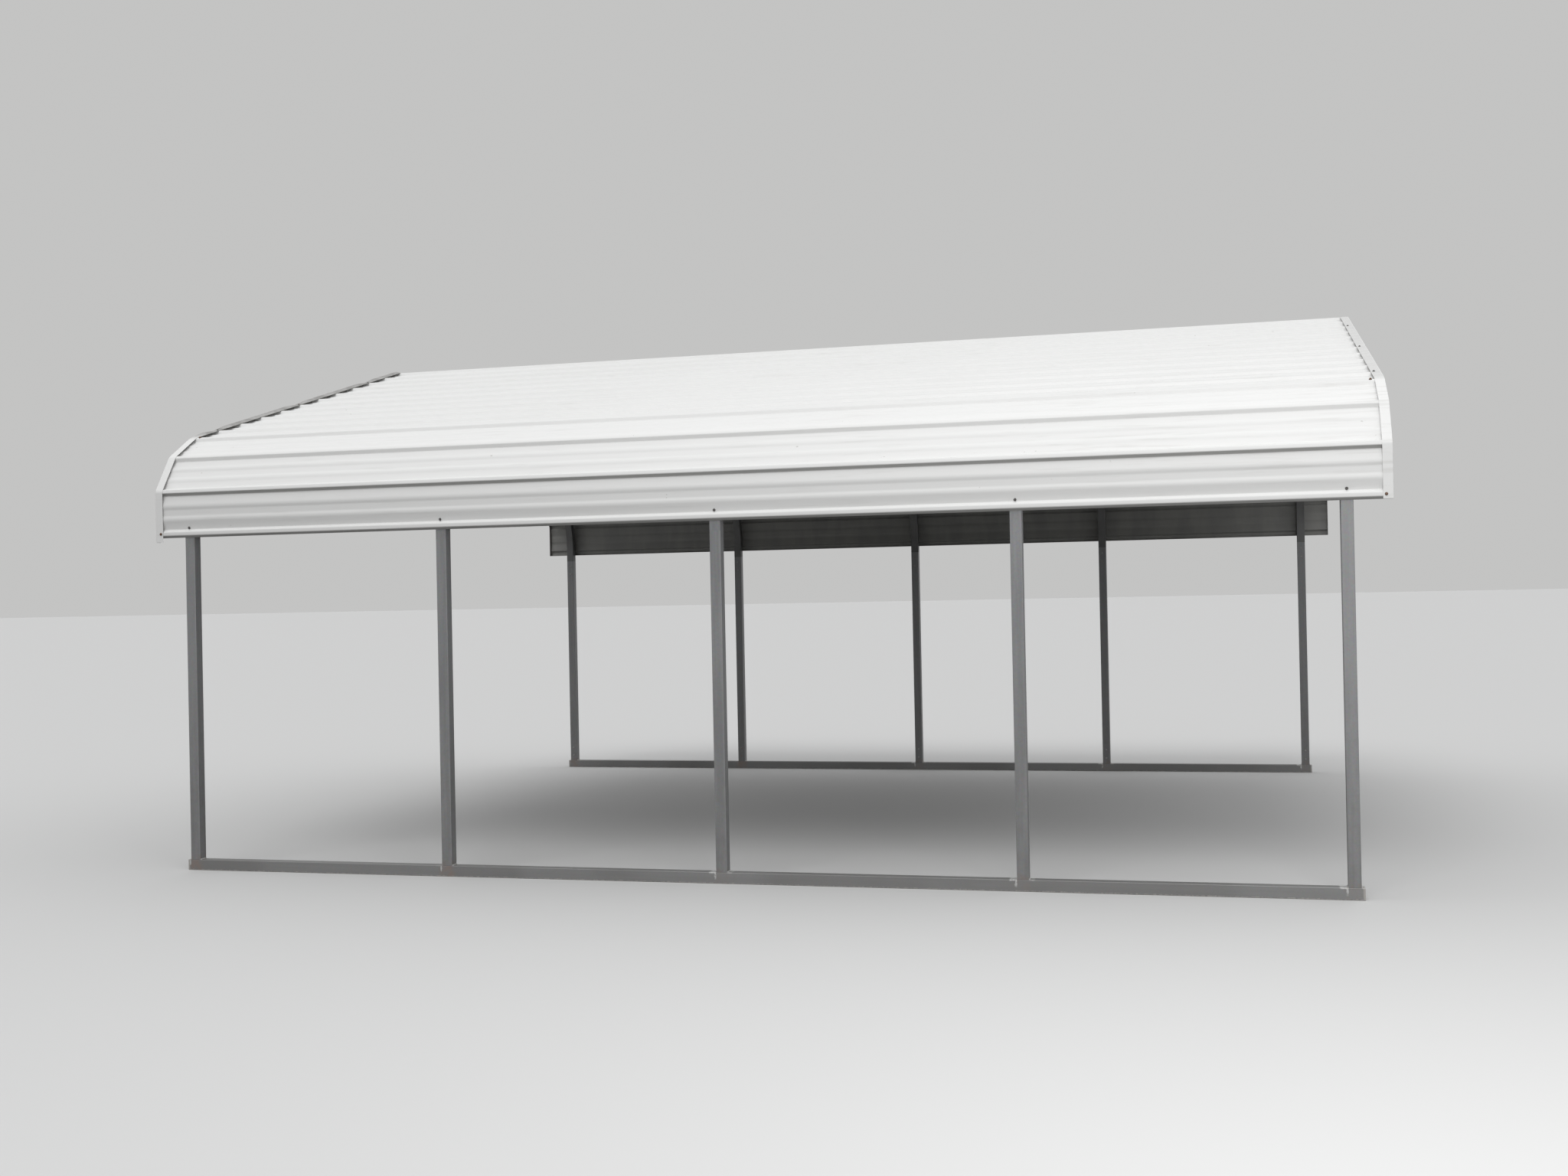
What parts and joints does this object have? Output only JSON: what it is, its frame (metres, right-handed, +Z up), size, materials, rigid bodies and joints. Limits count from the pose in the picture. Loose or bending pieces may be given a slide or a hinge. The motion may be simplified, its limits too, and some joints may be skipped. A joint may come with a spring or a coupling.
{
  "type": "carport",
  "caption": "Open steel carport: square tube posts on ground rails, bent bows and a ribbed white sheet roof with rounded eaves and short skirts.",
  "frame": {"origin": "on the ground, in the middle of the carport's footprint", "axes": "+X along the carport, to the right end as seen from the near side; +Y from the near side to the far side; +Z up"},
  "size_m": [6.4078, 5.5248, 3.0611],
  "materials": {
    "galvanised_tube": "dull galvanised, with paint and rust marks at the feet",
    "roof_sheet": "white baked enamel on ribbed steel sheet, lightly dirty",
    "end_trim": "white baked enamel on thin folded steel"
  },
  "bodies": {
    "root": {"base_rail_near": "galvanised_tube", "base_rail_far": "galvanised_tube", "near_post_1": "galvanised_tube", "near_post_2": "galvanised_tube", "near_post_3": "galvanised_tube", "near_post_4": "galvanised_tube", "near_post_5": "galvanised_tube", "far_post_1": "galvanised_tube", "far_post_2": "galvanised_tube", "far_post_3": "galvanised_tube", "far_post_4": "galvanised_tube", "far_post_5": "galvanised_tube", "bow_1": "galvanised_tube", "bow_2": "galvanised_tube", "bow_3": "galvanised_tube", "bow_4": "galvanised_tube", "bow_5": "galvanised_tube", "peak_brace_1": "galvanised_tube", "peak_brace_2": "galvanised_tube", "peak_brace_3": "galvanised_tube", "peak_brace_4": "galvanised_tube", "peak_brace_5": "galvanised_tube", "roof_panel_1": "roof_sheet", "roof_panel_2": "roof_sheet", "roof_panel_3": "roof_sheet", "roof_panel_4": "roof_sheet", "roof_panel_5": "roof_sheet", "roof_panel_6": "roof_sheet", "roof_panel_7": "roof_sheet", "end_trim_left_near": "end_trim", "end_trim_left_far": "end_trim", "end_trim_right_near": "end_trim", "end_trim_right_far": "end_trim"}
  },
  "joints": []
}
